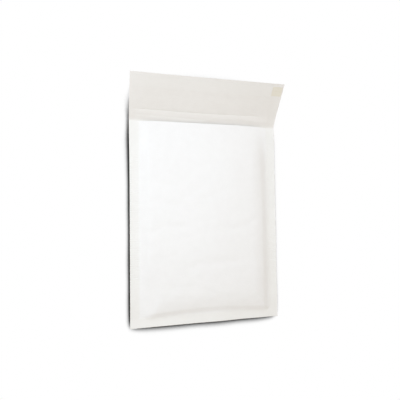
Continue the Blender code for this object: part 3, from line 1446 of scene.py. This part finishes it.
@dataclass(frozen=True)
class AdhesiveFinish:
    """Pressure-sensitive adhesive: yellowish, uneven and a little shiny.

    Attributes:
        name: Name of the material.
        thin: Colour where the adhesive is thin.
        thick: Colour where it is thick.
        streaks: Scale of the streaks across the flap and in the other two directions.
        streak_height: Height of the streaks.
        roughness: Least and greatest roughness.
    """

    name: str = "pressure_adhesive"
    thin: Colour = (0.83, 0.80, 0.73)
    thick: Colour = (0.77, 0.725, 0.60)
    streaks: Place = (90, 900, 900)
    streak_height: float = 0.1 * MM
    roughness: Span = (0.22, 0.47)

    def build(self) -> bpy.types.Material:
        """Make the material, streaked along the band as it was laid.

        Returns:
            The material.
        """
        material, tree = new_material(self.name)
        place = tree.add("ShaderNodeTexCoord").outputs["Object"]
        laid = tree.add("ShaderNodeMapping", {"Vector": place, "Scale": self.streaks}).outputs[0]
        streaks = tree.noise(laid, 1.0, 3.0)
        colour = tree.mix(streaks, (*self.thin, 1), (*self.thick, 1))
        rough = tree.spread(streaks, (0, 1), self.roughness)
        tree.surface(colour, rough, streaks, 0.5, self.streak_height)
        return material


@dataclass(frozen=True)
class Lamp:
    """A round soft lamp that points at the envelope.

    Attributes:
        name: Name of the lamp.
        place: Where the lamp hangs.
        aim: The point that it faces.
        size: Diameter of the lamp.
        power: Power in watts.
        colour: Colour of its light.
    """

    name: str
    place: Place
    aim: Place
    size: float
    power: float
    colour: Colour = (0.735, 0.855, 1.0)

    def build(self) -> bpy.types.Object:
        """Make the lamp.

        Returns:
            The new lamp, turned to its aim.
        """
        data = bpy.data.lights.new(self.name, "AREA")
        data.shape = "DISK"
        data.size = self.size
        data.energy = self.power
        data.color = self.colour
        made = put_in_scene(self.name, data)
        made.location = self.place
        away = Vector(self.place) - Vector(self.aim)
        made.rotation_euler = away.to_track_quat("Z", "Y").to_euler()
        return made


@dataclass(frozen=True)
class CloseShade:
    """Shade that the floor shows round the object, by how much of the room a point sees.

    Attributes:
        reach: How far round the point the object counts.
        dark_at: Share of the room that is seen where the shade is darkest.
        clear_at: Share that is seen where the shade ends.
        darkest: Tone of the darkest shade.
        samples: Rays for each point.
    """

    reach: float
    dark_at: float
    clear_at: float
    darkest: float
    samples: int = 32

    def tone(self, tree: NodeTree, lean: bpy.types.NodeSocket | None = None) -> bpy.types.NodeSocket:
        """Tone of the floor under this shade.

        Args:
            tree: The nodes of the floor's material.
            lean: Direction that the points look in, or None for straight up.

        Returns:
            A tone that is 1 where there is no shade.
        """
        inputs = {"Distance": self.reach} | ({} if lean is None else {"Normal": lean})
        seen = tree.add("ShaderNodeAmbientOcclusion", inputs, samples=self.samples)
        return tree.spread(seen.outputs["AO"], (self.dark_at, self.clear_at), (self.darkest, 1))


@dataclass(frozen=True)
class WhiteFloor:
    """White floor that shows the object's close shadow.

    Attributes:
        reach: Half the width of the floor.
        drop: How far it lies under the envelope, so that the two never touch.
        near: Hard shade close to the object.
        lean: Direction that the near shade looks in: up, and towards the flap.
        power: How quickly the near shade deepens.
        wide: Soft shade further out.
        colour: Colour of the light that the floor throws on the object.
    """

    reach: float = 3.0
    drop: float = 0.05 * MM
    near: CloseShade = CloseShade(reach=28 * MM, dark_at=0.5, clear_at=0.82, darkest=0.03)
    lean: Place = (0.0, 0.48, 0.88)
    power: float = 1.3
    wide: CloseShade = CloseShade(reach=90 * MM, dark_at=0.58, clear_at=0.70, darkest=0.10)
    colour: Colour = (0.84, 0.83, 0.81)

    def material(self) -> bpy.types.Material:
        """Make the floor's material, which shows the camera a white tone with a painted shadow round
        the object, but lights the object as a floor.

        Returns:
            The material.
        """
        material, tree = new_material("white_floor")
        nodes = material.node_tree.nodes
        nodes.remove(nodes["Principled BSDF"])
        lean = tree.add("ShaderNodeCombineXYZ", dict(zip("XYZ", self.lean))).outputs[0]
        # Painted shadow: the tone that the camera sees is darkened by ambient occlusion round the
        # object, not by the lamps.
        dark = tree.math("POWER", self.near.tone(tree, lean), self.power)
        shade = tree.math("MULTIPLY", dark, self.wide.tone(tree))
        shown = tree.add("ShaderNodeEmission", {"Color": shade, "Strength": 1.0}).outputs[0]
        lit = tree.add("ShaderNodeBsdfDiffuse", {"Color": (*self.colour, 1)}).outputs[0]
        both = tree.add("ShaderNodeMixShader", {0: directly_seen(tree), 1: lit, 2: shown})
        tree.feed(nodes["Material Output"], {"Surface": both.outputs[0]})
        return material

    def build(self) -> bpy.types.Object:
        """Make the floor.

        Returns:
            The floor.
        """
        mesh = bpy.data.meshes.new("floor")
        turns = ((-1, -1), (1, -1), (1, 1), (-1, 1))
        corners = [(x * self.reach, y * self.reach, 0) for x, y in turns]
        mesh.from_pydata(corners, [], [(0, 1, 2, 3)])
        mesh.materials.append(self.material())
        made = put_in_scene("floor", mesh)
        made.location.z = -self.drop
        return made


@dataclass(frozen=True)
class Studio:
    """Plain pale floor, soft light and the camera.

    Attributes:
        lamps: The lamps, the strongest first.
        floor: The floor under the envelope.
        focal_pixels: Focal length in pixels of the picture.
        picture_width: Width of the picture in pixels.
        sensor: Width of the camera's sensor, in millimetres.
        turn: How far the camera stands round to the left, in degrees.
        tilt: How far the camera looks up along the envelope, in degrees.
        roll: How far the picture is rolled, in degrees.
        offset: The envelope's origin as the camera sees it.
        clip_start: Nearest distance that the camera sees.
        ambient: Colour of the even light.
    """

    lamps: tuple[Lamp, ...]
    floor: WhiteFloor = WhiteFloor()
    focal_pixels: float = 336.0
    picture_width: float = 400.0
    sensor: float = 36.0
    turn: float = 13.6
    tilt: float = -2.13
    roll: float = 0.68
    offset: Place = (0.0059, -0.0246, -0.3863)
    clip_start: float = 0.01
    ambient: Colour = (0.592, 0.530, 0.456)

    def camera(self) -> bpy.types.Object:
        """Place the camera over the front panel.

        Returns:
            The scene's camera.
        """
        data = bpy.data.cameras.new("camera")
        data.sensor_width = self.sensor
        data.lens = self.sensor * self.focal_pixels / self.picture_width
        data.clip_start = self.clip_start
        made = put_in_scene("camera", data)
        turned = Matrix.Identity(4)
        for angle, axis in ((self.roll, "Z"), (self.tilt, "X"), (self.turn, "Y")):
            turned = turned @ Matrix.Rotation(math.radians(angle), 4, axis)
        made.matrix_world = turned.inverted() @ Matrix.Translation(-Vector(self.offset))
        bpy.context.scene.camera = made
        return made

    def world(self) -> None:
        """Warm even light from all round, seen as plain white behind the object."""
        world = bpy.data.worlds.new("soft_room")
        world.use_nodes = True
        bpy.context.scene.world = world
        tree = NodeTree(world.node_tree)
        colour = tree.mix(directly_seen(tree), (*self.ambient, 1), (1, 1, 1, 1))
        tree.feed(world.node_tree.nodes["Background"], {"Color": colour, "Strength": 1.0})

    def build(self) -> None:
        """Make the camera, the lights and the floor."""
        self.camera()
        for lamp in self.lamps:
            lamp.build()
        self.world()
        self.floor.build()
        bpy.context.scene.view_settings.view_transform = "Standard"


def front_creases() -> list[Crease]:
    """Soft creases of the front panel: the plain ones listed, the faint ones strewn."""
    plain = [
        Crease(((-67, 44), (-54, 43), (-28, 38), (-24, 27)), depth=0.36, width=4.5),
        Crease(((-66, 20), (-50, 21), (-35, 18)), depth=0.40, width=4.5),
        Crease(((-69, -10), (-59, -10), (-49, -4), (-27, -5)), depth=0.42, width=3.8),
        Crease(((20, -8), (30, -9), (48, -3), (58, 2)), depth=0.40, width=4.5),
        Crease(((2, 27), (22, 36)), depth=0.36, width=5.0),
        Crease(((-19, -51), (-10, -47), (5, -46), (39, -45)), depth=0.40, width=5.5),
    ]
    return plain + Wrinkling(count=110, span=(66, 98), seed=17, depth=0.16).creases()


def flap_creases() -> list[Crease]:
    """Creases of the flap, as places across it and distances from its fold."""
    return [
        Crease(((-76, 11.6), (-30, 11.4), (0, 11.0), (60, 11.4)), depth=0.20, width=0.9),
        Crease(((2, 3), (9, 7), (40, 7), (74, 5)), depth=-0.22, width=2.2),
        Crease(((-76, 6), (-48, 5), (0, 4)), depth=0.14, width=1.4),
        Crease(((-70, 29), (60, 30)), depth=0.10, width=2.5),
    ]


def seam_crimping() -> list[Crimping]:
    """Stretches of the two side seams where the ribs show."""
    return [
        Crimping(side=-1, low=-70, high=80, strength=0.45),
        Crimping(side=1, low=10, high=80, strength=0.9),
        Crimping(side=1, low=80, high=108, strength=0.9),
        Crimping(side=1, low=-80, high=10, strength=0.35),
    ]


def paper_sleeve(form: EnvelopeForm, fibres: bpy.types.NodeTree) -> PaperSleeve:
    """Choose the sleeve's papers: bleached outside, and a duller, warmer inside that is partly the
    paper's own tone and partly painted shade.

    Args:
        form: The form of the envelope.
        fibres: The shared group of paper fibres.

    Returns:
        The sleeve, ready to be built.
    """
    seal = SealTone(seal_mask_group(), {
        "Seam X": form.seam_x, "Foot Y": form.foot_y, "Mouth Y": form.flap_y, "Softness": 2.5 * MM,
    })
    outside = PaperFinish(
        "kraft_paper_outside", light=(0.915, 0.915, 0.908), shade=(0.885, 0.885, 0.876),
        roughness=0.62, bump=0.05 * MM, seal=seal,
    )
    # The inside tone is partly the paper's own and partly painted shade, which darkens the flap's
    # inner face beyond what the lamps give.
    inside = PaperFinish(
        "kraft_paper_inside_painted_shade", light=(0.85, 0.831, 0.797), shade=(0.815, 0.794, 0.758),
        roughness=0.66, bump=0.05 * MM,
    )
    return PaperSleeve(form, outside.build(fibres), inside.build(fibres))


def bubble_films(form: EnvelopeForm) -> list[BubbleFilm]:
    """The films of the front and the back panel, in one finish."""
    film = FilmFinish().build()
    lined = {"front_bubble_lining": Face.FRONT, "back_bubble_lining": Face.BACK}
    return [BubbleFilm(form, face, node, film) for node, face in lined.items()]


def flap_strips(form: EnvelopeForm, fibres: bpy.types.NodeTree) -> list[FlapStrip]:
    """Lay the adhesive and its liner near the flap's top edge, bare at the right end.

    Args:
        form: The form of the envelope.
        fibres: The shared group of paper fibres.

    Returns:
        The two strips, ready to be built.
    """
    top = form.flap_length
    left_end = -83.5 * MM
    release = PaperFinish(
        "release_paper", light=(0.841, 0.824, 0.79), shade=(0.821, 0.803, 0.766),
        roughness=0.42, bump=0.02 * MM, grain_size=1.4, coat=0.25,
    )
    adhesive = FlapStrip(
        form, "adhesive_band", "adhesive_strip", "adhesive", AdhesiveFinish().build(),
        low_x=left_end, high_x=84 * MM, low_along=top - 14 * MM, high_along=top - 3.5 * MM,
        height=0.02 * MM, thickness=0.08 * MM,
    )
    liner = FlapStrip(
        form, "release_liner_strip", "release_liner", "release_paper", release.build(fibres),
        low_x=left_end, high_x=72 * MM, low_along=top - 15.2 * MM, high_along=top - 3.0 * MM,
        height=0.12 * MM, thickness=0.07 * MM, lifted_end=0.35 * MM,
    )
    return [adhesive, liner]


def studio() -> Studio:
    """Hang the three lamps: the key, the pool over the upper left and the low one at the left."""
    key = Lamp("key_lamp", place=(-0.40, 0.30, 0.50), aim=(-0.05, 0.05, 0), size=0.22, power=1.4)
    pool = Lamp(
        "pool_lamp", place=(-0.022, 0.05, 0.45), aim=(-0.022, 0.05, 0), size=0.15, power=0.695,
        colour=(0.765, 0.86, 0.985),
    )
    low = Lamp("low_lamp", place=(-0.26, -0.17, 0.12), aim=(-0.06, -0.08, 0), size=0.10, power=0.032)
    return Studio((key, pool, low))


def main() -> None:
    """Build the envelope's pieces and the studio, and report each."""
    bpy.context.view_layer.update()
    form = EnvelopeForm(
        crimping=seam_crimping(), front_creases=front_creases(), flap_creases=flap_creases()
    )
    fibres = PaperFibres().build()
    pieces = [paper_sleeve(form, fibres), *bubble_films(form), *flap_strips(form, fibres)]
    for piece in pieces:
        made = piece.build()
        log.info("%s: %d faces", made.name, len(made.data.polygons))

    studio().build()


if __name__ == "__main__":
    main()
